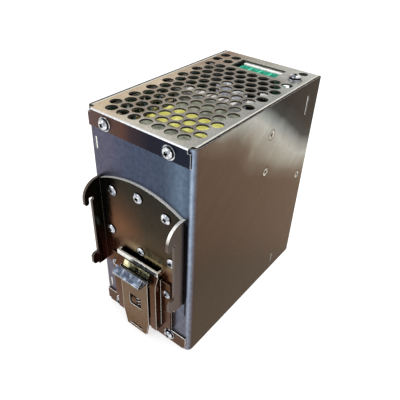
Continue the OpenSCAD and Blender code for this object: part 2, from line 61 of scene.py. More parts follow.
camera = bpy.data.objects.new("camera", bpy.data.cameras.new("camera"))
bpy.context.collection.objects.link(camera)
camera.data.lens = 40.28
camera.data.sensor_width = 36
camera.data.clip_start = 0.01
camera.data.clip_end = 20
camera.location = aim + away * distance
camera.rotation_mode = "QUATERNION"
camera.rotation_quaternion = away.to_track_quat("Z", "Y") @ Quaternion((0, 0, 1), tip)
bpy.context.scene.camera = camera

# ---------------------------------------------------------------- studio
# Plain white floor, an even white surround and three large soft lamps.
floor_reach = 6
floor_mesh = bpy.data.meshes.new("floor")
bm = bmesh.new()
bmesh.ops.create_grid(bm, x_segments=1, y_segments=1, size=floor_reach)
bm.to_mesh(floor_mesh)
bm.free()
floor = bpy.data.objects.new("floor", floor_mesh)
bpy.context.collection.objects.link(floor)
floor_paint = bpy.data.materials.new("floor paint")
floor_paint.use_nodes = True
floor_shader = floor_paint.node_tree.nodes["Principled BSDF"]
floor_shader.inputs["Base Color"].default_value = (0.5, 0.5, 0.5, 1)
floor_shader.inputs["Roughness"].default_value = 0.9
floor_shader.inputs["Emission Color"].default_value = (1, 1, 1, 1)
floor_shader.inputs["Emission Strength"].default_value = 0.64
floor.data.materials.append(floor_paint)

world = bpy.data.worlds.new("surround")
world.use_nodes = True
world.node_tree.nodes["Background"].inputs["Color"].default_value = (1, 1, 1, 1)
world.node_tree.nodes["Background"].inputs["Strength"].default_value = 1.0
bpy.context.scene.world = world
bpy.context.scene.view_settings.view_transform = "Standard"


def soft_lamp(name, place, size, power, tint):
    """A round soft lamp that shines on the middle of the case."""
    lamp = bpy.data.lights.new(name, "AREA")
    lamp.shape = "DISK"
    lamp.size = size
    lamp.energy = power
    lamp.color = tint
    holder = bpy.data.objects.new(name, lamp)
    holder.location = place
    holder.rotation_mode = "QUATERNION"
    holder.rotation_quaternion = (Vector(place) - case_middle).to_track_quat("Z", "Y")
    bpy.context.collection.objects.link(holder)


soft_lamp("overhead lamp", (-0.25, -0.35, 1.2), 0.4, 5, (1, 0.98, 0.95))
soft_lamp("rear lamp", (0.5, 1.1, 0.8), 0.6, 3, (0.92, 0.96, 1))
soft_lamp("side lamp", (-1.2, 0.3, 0.6), 0.7, 2.5, (1, 0.97, 0.93))

# ---------------------------------------------------------------- chassis
# A channel folded from 1 mm zinc-plated sheet: the rear wall and both sides.
# The tones of the plating are painted reflections: mottled blue-grey behind, and brown with a pale painted
# sheen at the sides.


def tone(red, green, blue):
    """A paint tone given as screen values from 0 to 255, as linear colour."""
    straight, foot = 255 * 12.92, 10.3
    return tuple(v / straight if v < foot else ((v / 255 + 0.055) / 1.055) ** 2.4
                 for v in (red, green, blue)) + (1,)


def finish(name, colour, roughness, metallic=0.0):
    """A new material with its constants on its own sockets: the material, its nodes, links and shader."""
    material = bpy.data.materials.new(name)
    material.use_nodes = True
    nodes, links = material.node_tree.nodes, material.node_tree.links
    shader = nodes["Principled BSDF"]
    shader.inputs["Base Color"].default_value = colour
    shader.inputs["Roughness"].default_value = roughness
    shader.inputs["Metallic"].default_value = metallic
    return material, nodes, links, shader


def along(nodes, links, direction):
    """The distance of a point along a direction, in metres."""
    place = nodes.new("ShaderNodeTexCoord")
    dot = nodes.new("ShaderNodeVectorMath")
    dot.operation = "DOT_PRODUCT"
    dot.inputs[1].default_value = direction
    links.new(place.outputs["Object"], dot.inputs[0])
    return dot.outputs["Value"]


def grain(nodes, links, scale, detail=4, stretch=(1, 1, 1), turn=(0, 0, 0)):
    """Noise on the piece, turned and then stretched; a stretch under 1 draws it out along that axis."""
    place = nodes.new("ShaderNodeTexCoord")
    turned = nodes.new("ShaderNodeMapping")
    turned.inputs["Rotation"].default_value = turn
    drawn = nodes.new("ShaderNodeMapping")
    drawn.inputs["Scale"].default_value = stretch
    pattern = nodes.new("ShaderNodeTexNoise")
    pattern.inputs["Scale"].default_value = scale
    pattern.inputs["Detail"].default_value = detail
    links.new(place.outputs["Object"], turned.inputs["Vector"])
    links.new(turned.outputs["Vector"], drawn.inputs["Vector"])
    links.new(drawn.outputs["Vector"], pattern.inputs["Vector"])
    return pattern.outputs["Fac"]


def band(nodes, links, value, stops):
    """Colours along a value: (value, colour) pairs, lowest first."""
    first, last = stops[0][0], stops[-1][0]
    reach = within(nodes, links, value, first, last)
    colours = nodes.new("ShaderNodeValToRGB")
    while len(colours.color_ramp.elements) < len(stops):
        colours.color_ramp.elements.new(0.5)
    for element, (place, colour) in zip(colours.color_ramp.elements, stops):
        element.position = (place - first) / (last - first)
        element.color = colour
    links.new(reach, colours.inputs["Fac"])
    return colours.outputs["Color"]


def within(nodes, links, value, start, end, low=0.0, high=1.0):
    """A value's run from start to end, held at its ends and given as low to high."""
    change = nodes.new("ShaderNodeMapRange")
    for socket, number in zip(("From Min", "From Max", "To Min", "To Max"), (start, end, low, high)):
        change.inputs[socket].default_value = number
    links.new(value, change.inputs["Value"])
    return change.outputs["Result"]


def combine(nodes, links, first, second, operation="MULTIPLY"):
    """Arithmetic on two values, each a socket or a number."""
    maths = nodes.new("ShaderNodeMath")
    maths.operation = operation
    for socket, value in zip(maths.inputs, (first, second)):
        if isinstance(value, (int, float)):
            socket.default_value = value
        else:
            links.new(value, socket)
    return maths.outputs["Value"]


def between(nodes, links, value, start, full, fading, end):
    """1 where a value lies between full and fading, falling to 0 at start and at end."""
    return combine(nodes, links, within(nodes, links, value, start, full),
                   within(nodes, links, value, fading, end, 1, 0))


def mixed(nodes, links, amount, first, second, kind="MIX"):
    """Two colours mixed, each a socket or a constant."""
    mixer = nodes.new("ShaderNodeMix")
    mixer.data_type = "RGBA"
    mixer.blend_type = kind
    for socket, value in ((mixer.inputs[0], amount), (mixer.inputs[6], first), (mixer.inputs[7], second)):
        if isinstance(value, (int, float, tuple)):
            socket.default_value = value
        else:
            links.new(value, socket)
    return mixer.outputs[2]


def roughen(nodes, links, shader, height, strength, depth):
    """Relief from a height value."""
    bump = nodes.new("ShaderNodeBump")
    bump.inputs["Strength"].default_value = strength
    bump.inputs["Distance"].default_value = depth
    links.new(height, bump.inputs["Height"])
    links.new(bump.outputs["Normal"], shader.inputs["Normal"])


def worn_finish(name, paint, fine, roughness, metallic=1.0):
    """A worn surface, metal unless metallic says otherwise: paint(nodes, links) gives its cast, which in many
    pieces holds painted reflections, highlights and shade, and fine grain breaks its tone and gloss."""
    material, nodes, links, shader = finish(name, (0.5, 0.5, 0.5, 1), roughness, metallic)
    shader.inputs["Specular Tint"].default_value = (0.74, 0.67, 0.60, 1)
    flecks = grain(nodes, links, *fine)
    speckle = band(nodes, links, flecks, ((0.3, (0.72, 0.72, 0.74, 1)), (0.7, (1, 1, 1, 1))))
    cast = mixed(nodes, links, 0.75, paint(nodes, links), speckle, "MULTIPLY")
    links.new(cast, shader.inputs["Base Color"])
    gloss = within(nodes, links, flecks, 0.3, 0.7, roughness - 0.06, roughness + 0.08)
    links.new(gloss, shader.inputs["Roughness"])
    roughen(nodes, links, shader, flecks, 0.15, 0.04 * MM)
    return material


def piece_of(bm, name, body, materials, replaced=(), crease=25):
    """Turns a bmesh into a piece on a body; it stands for the CAD nodes it replaces. Bends of more than
    crease degrees stay sharp, and beside a broad face every bend does."""
    broad, slight = 150 * MM * MM, math.radians(0.5)
    for face in bm.faces:
        face.smooth = True
    for edge in bm.edges:
        if len(edge.link_faces) == 2:
            bend = edge.calc_face_angle(0)
            by_broad = max(face.calc_area() for face in edge.link_faces) > broad
            edge.smooth = not (bend > math.radians(crease) or (by_broad and bend > slight))
    mesh = bpy.data.meshes.new(name)
    bm.to_mesh(mesh)
    bm.free()
    for material in materials:
        mesh.materials.append(material)
    piece = bpy.data.objects.new(name, mesh)
    bpy.context.collection.objects.link(piece)
    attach(piece, body)
    if replaced:
        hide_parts(*replaced)
    return piece


def eased(bm, edges, width, steps=1):
    """Breaks edges by a width, flat in one step or rounded in more, and gives the new faces."""
    return bmesh.ops.bevel(bm, geom=edges, offset=width, offset_type="OFFSET", segments=steps,
                           profile=0.5, affect="EDGES", clamp_overlap=True, material=-1)["faces"]


def deburred(node, name, body, materials, width, sheared=None, rim=0):
    """A copy of a CAD node with its corners broken by a narrow chamfer, bright with bare sheared metal and a
    painted highlight.
    sheared(face) picks the faces of the sheet's own thickness; they take the last material, and with a
    rim their chamfers take the third."""
    same_place, same_plane, corner_bend = 0.002 * MM, math.radians(0.6), math.radians(30)
    bm = bmesh.new()
    bm.from_mesh(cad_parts[node].data)
    bmesh.ops.remove_doubles(bm, verts=bm.verts, dist=same_place)
    bmesh.ops.dissolve_limit(bm, angle_limit=same_plane, verts=bm.verts, edges=bm.edges)
    for reach, rims_only in ((rim, True), (width, False)):
        corners = [e for e in bm.edges if reach and len(e.link_faces) == 2
                   and e.calc_face_angle(0) > corner_bend
                   and all(face.material_index == 0 for face in e.link_faces)
                   and (not rims_only or any(sheared(face) for face in e.link_faces))]
        for face in eased(bm, corners, reach):
            face.material_index = 2 if rims_only else 1
    for face in bm.faces:
        if sheared and sheared(face):
            face.material_index = len(materials) - 1
    return piece_of(bm, name, body, materials, (node,))


def flecked(scale, stops, detail=4, stretch=(1, 1, 1)):
    """A cast for a worn finish: tones that follow its fine grain."""
    return lambda nodes, links: band(nodes, links, grain(nodes, links, scale, detail, stretch), stops)


# Bright tones for tinned leads, and for sheared edges, where they are bare metal with a painted highlight.
bright_cast = flecked(300, ((0.3, tone(196, 198, 200)), (0.7, tone(244, 242, 238))))
sheared_edge_highlight = worn_finish("sheared edge highlight", bright_cast, (1500, 2), 0.25, 0.35)


def stud_ring_shade(nodes, links, centre):
    """Painted shade: a dark ring round a press-in stud, where the sheet is pressed in."""
    place = nodes.new("ShaderNodeTexCoord")
    gap = nodes.new("ShaderNodeVectorMath")
    gap.operation = "DISTANCE"
    gap.inputs[1].default_value = centre
    links.new(place.outputs["Object"], gap.inputs[0])
    radius = gap.outputs["Value"]
    return combine(nodes, links, within(nodes, links, radius, 2.5 * MM, 2.7 * MM, 0, 0.8),
                   within(nodes, links, radius, 2.95 * MM, 3.15 * MM, 1, 0))


stud_places = ((-13.55, 108.2), (-12.35, 87.2), (-53.65, 65.9))  # depth and height in mm, on both sides


def wall_cast(nodes, links):
    """Painted reflections: brown sides with diagonal brushing, a pale sheen and a dark upper front; a mottled
    blue-grey rear.
    """
    wobble = grain(nodes, links, 22, 3)
    rise = combine(nodes, links, along(nodes, links, (0, -0.521, 0.853)),
                   within(nodes, links, wobble, 0.3, 0.7, -5 * MM, 5 * MM), "ADD")
    # Painted reflection on the sides: brown, a pale painted sheen across the middle, dark towards the upper
    # front.
    sheen = band(nodes, links, rise, (
        (0.020, tone(66, 55, 48)), (0.050, tone(84, 66, 55)), (0.080, tone(92, 74, 62)),
        (0.087, tone(110, 98, 86)), (0.093, tone(150, 148, 138)), (0.100, tone(178, 180, 174)),
        (0.105, tone(138, 144, 142)), (0.110, tone(46, 55, 60)), (0.117, tone(20, 26, 32))))
    streaks = grain(nodes, links, 260, 5, (0.2, 1.0, 0.06), (math.radians(-48), 0, 0))
    brushed = band(nodes, links, streaks, ((0.32, (0.78, 0.77, 0.76, 1)), (0.68, (1, 1, 1, 1))))
    side = mixed(nodes, links, 0.45, sheen, brushed, "MULTIPLY")
    blush = within(nodes, links, grain(nodes, links, 40, 3), 0.45, 0.7, 0, 0.4)
    side = mixed(nodes, links, blush, side, mixed(nodes, links, 1.0, side, (1.0, 0.84, 0.72, 1), "MULTIPLY"))
    # Rings of painted shade round the press-in studs on both sides.
    for stud_depth, stud_height in stud_places:
        for half in (-1, 1):
            ring = stud_ring_shade(nodes, links, (half * case_high.x, stud_depth * MM, stud_height * MM))
            side = mixed(nodes, links, ring, side, tone(36, 30, 26))
    across = along(nodes, links, (1, 0, 0))
    depth = along(nodes, links, (0, 1, 0))
    height = along(nodes, links, (0, 0, 1))
    # Painted reflections across the rear wall in blue-grey, with a pale painted highlight down its bend into
    # the side.
    rear = band(nodes, links, across, (
        (-0.0312, tone(100, 92, 92)), (-0.0304, tone(126, 140, 158)), (-0.0298, tone(168, 184, 204)),
        (-0.0286, tone(84, 98, 118)), (-0.0245, tone(102, 120, 140)), (-0.0150, tone(72, 83, 102)),
        (0.0050, tone(72, 82, 103)), (0.0200, tone(92, 92, 110)), (0.0315, tone(94, 94, 112))))
    # A paler painted reflection low on the rear wall.
    low_down = within(nodes, links, height, 0.020, 0.095)
    rear = mixed(nodes, links, low_down, mixed(nodes, links, 0.55, rear, tone(130, 124, 134)), rear)
    # A painted shadow on the rear wall beside the clip's right-hand wing.
    clip_shadow = combine(nodes, links, between(nodes, links, height, 0.026, 0.028, 0.086, 0.088),
                      between(nodes, links, across, -0.0288, -0.0285, -0.0277, -0.0274))
    rear = mixed(nodes, links, combine(nodes, links, clip_shadow, 0.9), rear, tone(16, 18, 24))
    spangle = band(nodes, links, grain(nodes, links, 480, 3, (1, 1, 0.8)),
                   ((0.35, (0.7, 0.72, 0.76, 1)), (0.65, (1, 1, 1, 1))))
    rear = mixed(nodes, links, 0.8, rear, spangle, "MULTIPLY")
    fold = within(nodes, links, depth, case_high.y - 2.6 * MM, case_high.y - 0.9 * MM)
    # A dark line of painted shade along the top of the walls, under the edge of the lid.
    shade_under_lid = within(nodes, links, height, case_high.z - 0.4 * MM, case_high.z - 0.3 * MM)
    return mixed(nodes, links, shade_under_lid, mixed(nodes, links, fold, side, rear), tone(30, 28, 26))


case_steel = worn_finish("case steel", wall_cast, (900, 3, (1.4, 1.4, 0.8)), 0.34)
deburred("chassis", "case_walls", "root", (case_steel, sheared_edge_highlight), 0.15 * MM)

# ---------------------------------------------------------------- covers and front
# Perforated lids of the same sheet, screwed over the ends of the channel, and a
# plain front. The rims of the punched vents carry a painted highlight and their walls painted shade;
# the lids' tones are painted reflections, darker on the rear lips.


def lid_cast(nodes, links):
    """Painted reflections on a lid: pale warm to cool on its face, darker on the lip that turns over the rear
    wall.
    """
    across = along(nodes, links, (1, 0, 0))
    slanting = along(nodes, links, (1, 0.12, 0))
    depth = along(nodes, links, (0, 1, 0))
    height = along(nodes, links, (0, 0, 1))
    # Painted reflections on the face of the lid.
    pale = band(nodes, links, slanting, (
        (-0.031, tone(160, 166, 166)), (-0.014, tone(200, 198, 188)), (0.006, tone(222, 218, 206)),
        (0.031, tone(226, 208, 180))))
    front = band(nodes, links, slanting, (
        (-0.031, tone(206, 212, 208)), (0.0, tone(190, 190, 182)), (0.018, tone(162, 142, 128)),
        (0.031, tone(150, 122, 106))))
    pale = mixed(nodes, links, within(nodes, links, depth, -0.055, 0.0), front, pale)
    clouds = band(nodes, links, grain(nodes, links, 90, 4),
                  ((0.35, (0.74, 0.72, 0.7, 1)), (0.65, (1, 1, 1, 1))))
    pale = mixed(nodes, links, 0.7, pale, clouds, "MULTIPLY")
    off_middle = combine(nodes, links, across, 0, "ABSOLUTE")
    vented = combine(nodes, links, within(nodes, links, off_middle, 0.020, 0.0245, 1, 0),
                     between(nodes, links, depth, -0.046, -0.036, 0.036, 0.046))
    dimmed = mixed(nodes, links, 1.0, pale, (0.48, 0.46, 0.46, 1), "MULTIPLY")
    pale = mixed(nodes, links, vented, pale, dimmed)
    # Darker painted reflections on the lip over the rear wall, brown on the bottom lid's lip.
    lip = band(nodes, links, across, (
        (-0.030, tone(30, 36, 50)), (-0.008, tone(32, 34, 46)), (0.003, tone(56, 46, 50)),
        (0.008, tone(84, 60, 54)), (0.030, tone(92, 76, 74))))
    lip = mixed(nodes, links, within(nodes, links, height, 0.020, 0.022), tone(96, 74, 64), lip)
    behind = within(nodes, links, depth, case_high.y - 0.1 * MM, case_high.y + 0.1 * MM)
    below_top = within(nodes, links, height, case_high.z - 0.9 * MM, case_high.z - 0.5 * MM, 1, 0)
    lid = mixed(nodes, links, combine(nodes, links, behind, below_top), pale, lip)
    # A painted highlight along the rear bend of the lid.
    past_wall = within(nodes, links, depth, case_high.y + 0.1 * MM, case_high.y + 0.3 * MM)
    near_top = within(nodes, links, height, case_high.z - 0.8 * MM, case_high.z - 0.6 * MM)
    lid = mixed(nodes, links, combine(nodes, links, past_wall, near_top), lid, tone(240, 242, 244))
    # A painted highlight along the side edges of the lid.
    side_edge_highlight = combine(nodes, links, within(nodes, links, off_middle, 29.35 * MM, 29.6 * MM), near_top)
    return mixed(nodes, links, side_edge_highlight, lid, tone(238, 238, 228))


lid_steel = worn_finish("lid steel", lid_cast, (1100, 3), 0.3)
# The rims of the vents carry a painted highlight; the walls of the holes are painted shade.
rim_highlight_cast = flecked(300, ((0.3, tone(226, 224, 214)), (0.7, tone(255, 253, 246))))
shade_cast = flecked(300, ((0.3, tone(52, 49, 44)), (0.7, tone(84, 80, 72))))
vent_rim_highlight = worn_finish("vent rim highlight", rim_highlight_cast, (1500, 2), 0.4, 0.0)
vent_shade = worn_finish("vent shade", shade_cast, (1500, 2), 0.4, 0.2)


def vent_wall(face):
    """The inside of a punched hole: upright, in the thickness of the lid's flat part."""
    middle, sheet = face.calc_center_median(), 1.1 * MM
    flat_part = abs(middle.z - case_high.z) < sheet or abs(middle.z - case_low.z) < sheet
    clear_of_lips = abs(middle.x) < 29 * MM and middle.y < case_high.y - MM
    return flat_part and clear_of_lips and abs(face.normal.z) < 0.3


lid_metals = (lid_steel, sheared_edge_highlight, vent_rim_highlight, vent_shade)
deburred("top_cover", "top_lid", "root", lid_metals, 0.22 * MM, vent_wall, 0.28 * MM)
deburred("bottom_cover", "bottom_lid", "root", lid_metals, 0.15 * MM, vent_wall, 0.28 * MM)
front_cast = flecked(40, ((0.3, tone(150, 152, 154)), (0.7, tone(196, 196, 194))), 5, (1, 1, 0.3))
front_steel = worn_finish("front steel", front_cast, (900, 3, (1, 1, 0.2)), 0.36)
deburred("front_panel", "front_plate", "root", (front_steel, sheared_edge_highlight), 0.15 * MM)

# ---------------------------------------------------------------- lid tabs
# Bright tongues of the lids reach into key slots near the corners of the channel,
# flush with its outer face, and locate the lids before they are screwed down.
tab_depth = 0.6 * MM
tab_faces = (  # opposite corners of each tab's outer face, in mm
    ((26.5, 47.45, 104.5), (27.7, 47.45, 110.9)), ((26.5, 47.45, 12.5), (27.7, 47.45, 18.9)),
    ((-31.3, -49.95, 106.6), (-31.3, -48.75, 117.4)), ((-31.3, -38.15, 5.6), (-31.3, -37.15, 12.4)))


def slab(bm, size, centre, turn=0):
    """A square-edged block about a centre, turned by an angle about the upright; gives its vertices."""
    verts = bmesh.ops.create_cube(bm, size=1)["verts"]
    bmesh.ops.scale(bm, verts=verts, vec=size)
    bmesh.ops.rotate(bm, verts=verts, cent=(0, 0, 0), matrix=Matrix.Rotation(turn, 3, "Z"))
    bmesh.ops.translate(bm, verts=verts, vec=centre)
    return verts


bm = bmesh.new()
for low_corner, high_corner in tab_faces:
    first, last = Vector(low_corner) * MM, Vector(high_corner) * MM
    size = last - first
    inward = Vector((tab_depth if size.x == 0 else 0, -tab_depth if size.y == 0 else 0, 0))
    slab(bm, [max(abs(a), abs(b)) for a, b in zip(size, inward)], (first + last + inward) / 2)
eased(bm, bm.edges[:], 0.12 * MM, 2)
tab_cast = flecked(500, ((0.3, tone(226, 226, 220)), (0.7, tone(252, 250, 246))))
piece_of(bm, "lid_tabs", "root", (worn_finish("tab steel", tab_cast, (1500, 2), 0.3),))

# ---------------------------------------------------------------- rail clip
# Bracket, guide and latch are pressed from polished spring steel 1.2 to 1.5 mm
# thick; their bronze and brown tones are painted reflections. The sheared edges are bright with
# bare metal and a painted highlight; two hooks grip the rail.


def clip_cast(nodes, links):
    """Painted reflections: dark olive bronze at the top and right of the plate, warm brown at the left, cream
    by the guide.
    """
    across = along(nodes, links, (1, 0, 0))
    height = along(nodes, links, (0, 0, 1))
    cloud = grain(nodes, links, 55, 3)
    upright = combine(nodes, links, height, within(nodes, links, cloud, 0.3, 0.7, -MM, MM), "ADD")
    # Both bands hold a near-black strip of painted shade where the plate shows down the guide's slot; the
    # second has a cream painted reflection above it.
    warm = band(nodes, links, upright, (
        (0.010, tone(104, 80, 66)), (0.0495, tone(98, 70, 56)), (0.0500, tone(12, 11, 10)),
        (0.0520, tone(14, 12, 10)), (0.0526, tone(92, 72, 58)), (0.066, tone(106, 72, 52)),
        (0.078, tone(74, 54, 42)), (0.090, tone(44, 42, 36))))
    dark = band(nodes, links, upright, (
        (0.010, tone(110, 82, 68)), (0.0495, tone(98, 72, 60)), (0.0500, tone(12, 11, 10)),
        (0.0520, tone(14, 12, 10)), (0.0526, tone(150, 138, 108)), (0.0550, tone(170, 156, 118)),
        (0.0600, tone(76, 64, 50)), (0.074, tone(54, 48, 40)), (0.092, tone(40, 40, 36))))
    side = within(nodes, links, across, -0.004, 0.012)
    plate = mixed(nodes, links, side, dark, warm)
    # A warm painted reflection on the plate beside the guide, low down.
    off_middle = combine(nodes, links, across, 0, "ABSOLUTE")
    beside = within(nodes, links, off_middle, 0.0143, 0.0150)
    low_down = within(nodes, links, upright, 0.052, 0.062, 1, 0)
    plate = mixed(nodes, links, combine(nodes, links, beside, low_down), plate, tone(98, 70, 54))
    # Painted reflections on the two wings.
    left_wing = band(nodes, links, upright, (
        (0.044, tone(94, 64, 56)), (0.058, tone(66, 56, 48)), (0.066, tone(46, 52, 48)),
        (0.095, tone(38, 46, 44))))
    plate = mixed(nodes, links, within(nodes, links, across, 0.0205, 0.0235), plate, left_wing)
    right_wing = band(nodes, links, upright, (
        (0.020, tone(92, 78, 74)), (0.050, tone(88, 80, 80)), (0.090, tone(72, 66, 62))))
    return mixed(nodes, links, within(nodes, links, across, -0.0262, -0.0256, 1, 0), plate, right_wing)


def clip_edge_cast(nodes, links):
    """Sheared edges bright with bare metal and a painted highlight, darker on the left wing and along the
    foot of the plate.
    """
    across = along(nodes, links, (1, 0, 0))
    height = along(nodes, links, (0, 0, 1))
    bright = within(nodes, links, grain(nodes, links, 300), 0.3, 0.7, 0.75, 1.0)
    foot = between(nodes, links, height, 0.0360, 0.0370, 0.0825, 0.0850)
    dull = combine(nodes, links, within(nodes, links, across, 0.0250, 0.0256), foot, "MAXIMUM")
    edge = mixed(nodes, links, bright, tone(190, 190, 186), tone(248, 246, 240))
    return mixed(nodes, links, dull, edge, tone(84, 72, 64))


plate_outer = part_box("latch_guide")[0][1]
guide_inner = plate_outer + 1.9 * MM
wing = 25.9 * MM


def plate_rim(face):
    """The upper edges in the plate's own thickness, and the ends of the wings that fold out of it."""
    middle = face.calc_center_median()
    if middle.y < plate_outer:
        return abs(face.normal.y) < 0.5 and face.normal.z > 0.2
    wing_end = abs(middle.x) > wing and abs(face.normal.x) < 0.3
    return wing_end and middle.y > plate_outer and face.normal.z > -0.2


clip_steel = worn_finish("clip steel", clip_cast, (700, 4, (1, 1, 0.5)), 0.2)
clip_edge_highlight = worn_finish("clip edge highlight", clip_edge_cast, (1500, 2), 0.25, 0.35)
deburred("clip_bracket", "clip_plate", "root", (clip_steel, clip_edge_highlight), 0.25 * MM, plate_rim)


def guide_cast(nodes, links):
    """Brown channel in painted reflection; a white painted highlight on the rim, a dark painted shadow line
    under it, a brass-coloured painted reflection on the brushed slope above the catch, and painted shade
    inside.
    """
    off_middle = combine(nodes, links, along(nodes, links, (1, 0, 0)), 0, "ABSOLUTE")
    depth = along(nodes, links, (0, 1, 0))
    height = along(nodes, links, (0, 0, 1))
    brushing = grain(nodes, links, 1100, 3, (0.04, 1, 1))
    # A brass-coloured painted reflection for the brushed slope.
    brass = band(nodes, links, brushing, (
        (0.30, tone(110, 100, 56)), (0.38, tone(214, 204, 136)), (0.50, tone(252, 247, 205))))
    brown = band(nodes, links, height, (
        (0.010, tone(106, 84, 76)), (0.030, tone(94, 66, 52)), (0.043, tone(84, 56, 42))))
    slope_reflection = combine(nodes, links, between(nodes, links, height, 0.0432, 0.0436, 0.0478, 0.0482),
                    within(nodes, links, off_middle, 0.0084, 0.0090, 1, 0))
    channel = mixed(nodes, links, slope_reflection, brown, brass)
    # A painted shadow line in the gap under the rim.
    gap_shadow = between(nodes, links, height, 0.0482, 0.0484, 0.0490, 0.0492)
    channel = mixed(nodes, links, gap_shadow, channel, tone(40, 32, 26))
    # A painted highlight along the rim.
    rim = within(nodes, links, height, 0.0490, 0.0492)
    channel = mixed(nodes, links, rim, channel, tone(238, 238, 232))
    # Painted shade on the inner face of the channel.
    inside = combine(nodes, links, within(nodes, links, depth, guide_inner - 0.2 * MM, guide_inner, 1, 0),
                     within(nodes, links, off_middle, 0.0139, 0.0142, 1, 0))
    return mixed(nodes, links, inside, channel, tone(14, 12, 10))


def guide_edge_cast(nodes, links):
    """A painted highlight at the rim and down the fold of the channel, darker round the feet."""
    off_middle = combine(nodes, links, along(nodes, links, (1, 0, 0)), 0, "ABSOLUTE")
    fold = within(nodes, links, off_middle, 0.0146, 0.0150, 1, 0)
    rim = within(nodes, links, along(nodes, links, (0, 0, 1)), 0.0484, 0.0490)
    bright = combine(nodes, links, rim, combine(nodes, links, fold, 0.75), "MAXIMUM")
    return mixed(nodes, links, bright, tone(100, 77, 63), tone(240, 238, 230))


guide_top = 51.3 * MM
guide_steel = worn_finish("guide steel", guide_cast, (700, 4, (1, 1, 0.5)), 0.22)
guide_edge_highlight = worn_finish("guide edge highlight", guide_edge_cast, (1500, 2), 0.25, 0.35)
deburred("latch_guide", "guide_channel", "root", (guide_steel, guide_edge_highlight), 0.2 * MM,
         lambda face: face.calc_center_median().z > guide_top)


def latch_cast(nodes, links):
    """Painted reflections: a warm brown tongue, and blue-white with fine streaks on the ramp of its catch."""
    height = along(nodes, links, (0, 0, 1))
    wobble = within(nodes, links, grain(nodes, links, 70, 3), 0.3, 0.7, -5 * MM, 5 * MM)
    tongue = band(nodes, links, combine(nodes, links, height, wobble, "ADD"), (
        (0.002, tone(108, 84, 64)), (0.020, tone(122, 100, 82)), (0.040, tone(112, 94, 78))))
    # Painted reflection on the ramp of the catch.
    streaks = band(nodes, links, grain(nodes, links, 380, 4, (1, 1, 0.5)), (
        (0.38, tone(64, 72, 86)), (0.52, tone(96, 104, 118)), (0.66, tone(176, 184, 196))))
    return mixed(nodes, links, within(nodes, links, height, 0.0430, 0.0436), tongue, streaks)


latch_steel = worn_finish("latch steel", latch_cast, (700, 4, (1, 1, 0.5)), 0.22)
deburred("latch_slider", "latch_tongue", "latch", (latch_steel, sheared_edge_highlight), 0.22 * MM)

# ---------------------------------------------------------------- latch spring
# A compression coil of music wire seen in the latch's window. It sits between
# the bracket's stop and the latch's tab. The real spring shortens as the latch is pulled down;
# this coil is built at one length.
spring_low, spring_high = (Vector(corner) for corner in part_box("latch_spring"))
wire = 0.35 * MM
coil = (spring_high.x - spring_low.x) / 2 - wire
spring_y = (spring_low.y + spring_high.y) / 2
turns, steps = 8, 28
rise = (spring_high.z - spring_low.z - 2 * wire) / (turns * steps)
upended = Matrix.Rotation(math.pi / 2, 3, "X")
bm = bmesh.new()
bmesh.ops.create_circle(bm, cap_ends=False, segments=10, radius=wire)
bmesh.ops.rotate(bm, verts=bm.verts, cent=(0, 0, 0), matrix=upended)
bmesh.ops.translate(bm, verts=bm.verts, vec=(coil, spring_y, spring_low.z + wire))
bmesh.ops.spin(bm, geom=bm.verts[:] + bm.edges[:], cent=(0, spring_y, 0), axis=(0, 0, 1),
               dvec=(0, 0, rise), angle=turns * 2 * math.pi, steps=turns * steps, use_merge=False)
bmesh.ops.holes_fill(bm, edges=[e for e in bm.edges if e.is_boundary], sides=12)
bmesh.ops.recalc_face_normals(bm, faces=bm.faces)
wire_cast = flecked(500, ((0.3, tone(110, 112, 118)), (0.7, tone(214, 216, 220))))
spring_wire = worn_finish("spring wire", wire_cast, (1500, 2), 0.2)
spring = piece_of(bm, "latch_coil", "root", (spring_wire,), ("latch_spring",), 60)
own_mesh(spring)

# ---------------------------------------------------------------- screws and rivets
# Chromed pan-head machine screws with a cross recess hold the lids, each over a
# washer. The clip is held by low screws and by rivets with a dimpled head.
# The chrome's mottled tones stand in for its reflections as painted reflection; the shade material holds
# painted shade in the cross recess and on the flank above the washer.
screw_cast = flecked(420, ((0.34, tone(104, 110, 120)), (0.5, tone(190, 194, 200)),
                           (0.64, tone(246, 246, 246))), 3)
recess_cast = flecked(600, ((0.3, tone(26, 26, 28)), (0.7, tone(70, 68, 66))))
screw_chrome = worn_finish("screw chrome", screw_cast, (1400, 2), 0.14)
screw_shade = worn_finish("screw shade", recess_cast, (1400, 2), 0.35)


def cross_cutter():
    """The point of a cross-head driver, a little over 1 across, to be taken out of a head of unit radius."""
    bm = bmesh.new()
    for angle in (0, math.pi / 2):
        blade = bmesh.ops.create_cube(bm, size=1)["verts"]
        bmesh.ops.scale(bm, verts=blade, vec=(1.36, 0.32, 1.3))
        for vert in blade:
            if vert.co.z < 0:
                vert.co.x *= 0.35
        bmesh.ops.rotate(bm, verts=blade, cent=(0, 0, 0), matrix=Matrix.Rotation(angle, 3, "Z"))
    mesh = bpy.data.meshes.new("driver point")
    bm.to_mesh(mesh)
    bm.free()
    return bpy.data.objects.new("driver point", mesh)


def turned(bm, outline, steps, merge):
    """A turned shape about Z from (radius, height) pairs, its doubles merged; gives its vertices."""
    before = set(bm.verts)
    verts = [bm.verts.new((radius, 0, height)) for radius, height in outline]
    edges = [bm.edges.new(pair) for pair in zip(verts, verts[1:])]
    bmesh.ops.spin(bm, geom=verts + edges, cent=(0, 0, 0), axis=(0, 0, 1), angle=2 * math.pi,
                   steps=steps, use_merge=True)
    bmesh.ops.remove_doubles(bm, verts=[vert for vert in bm.verts if vert not in before], dist=merge)
    return [vert for vert in bm.verts if vert not in before]


